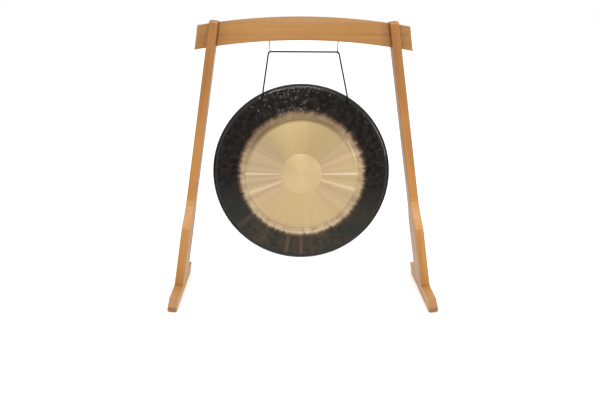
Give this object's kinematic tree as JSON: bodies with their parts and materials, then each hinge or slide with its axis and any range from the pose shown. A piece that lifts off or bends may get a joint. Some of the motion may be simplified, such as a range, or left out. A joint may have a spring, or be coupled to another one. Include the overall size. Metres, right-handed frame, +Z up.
{
  "type": "tam tam gong",
  "caption": "Large flat-faced bronze gong hung on a cord from hooks under an arched wooden beam, on a leaning two-post stand.",
  "frame": {"origin": "on the floor under the middle of the stand's footprint", "axes": "+Z up, +X to the right as a player faces the gong's front, front towards -Y"},
  "size_m": [1.189, 0.565, 1.264],
  "materials": {
    "post_wood": "clear satin varnish",
    "brace_wood": "clear satin varnish",
    "foot_wood": "clear satin varnish",
    "beam_wood": "clear satin varnish",
    "crown_wood": "clear satin varnish",
    "dowel_wood": "raw",
    "steel": "zinc plated",
    "pad_rubber": "matte",
    "cord": "twisted nylon cord",
    "gong_bronze": "lathed bright centre, black hammered border"
  },
  "bodies": {
    "stand": {"left_post": "post_wood", "left_front_brace": "brace_wood", "left_rear_brace": "brace_wood", "left_foot": "foot_wood", "left_beam_dowel": "dowel_wood", "left_front_bolt": "steel", "left_front_washer": "steel", "left_front_insert": "steel", "left_front_pad": "pad_rubber", "left_rear_bolt": "steel", "left_rear_washer": "steel", "left_rear_insert": "steel", "left_rear_pad": "pad_rubber", "right_post": "post_wood", "right_front_brace": "brace_wood", "right_rear_brace": "brace_wood", "right_foot": "foot_wood", "right_beam_dowel": "dowel_wood", "right_front_bolt": "steel", "right_front_washer": "steel", "right_front_insert": "steel", "right_front_pad": "pad_rubber", "right_rear_bolt": "steel", "right_rear_washer": "steel", "right_rear_insert": "steel", "right_rear_pad": "pad_rubber"},
    "crossbeam": {"beam": "beam_wood", "beam_crown": "crown_wood", "hook_left": "steel", "hook_right": "steel"},
    "hanger": {"cord": "cord"},
    "gong": {"gong": "gong_bronze", "cord_end_left": "cord", "cord_end_right": "cord"}
  },
  "joints": [
    {"name": "beam_lift", "type": "slide", "parent": "stand", "child": "crossbeam", "axis": [0, 0, 1], "range_m": [0, 0.12]},
    {"name": "gong_swing", "type": "hinge", "parent": "crossbeam", "child": "hanger", "pos_m": [0, 0.0385, 1.11], "axis": [1, 0, 0], "range_deg": [-35, 35]},
    {"name": "gong_tilt", "type": "hinge", "parent": "hanger", "child": "gong", "pos_m": [0.0095, 0.0385, 0.893], "axis": [0.9988, 0, -0.0489], "range_deg": [-20, 20]}
  ]
}
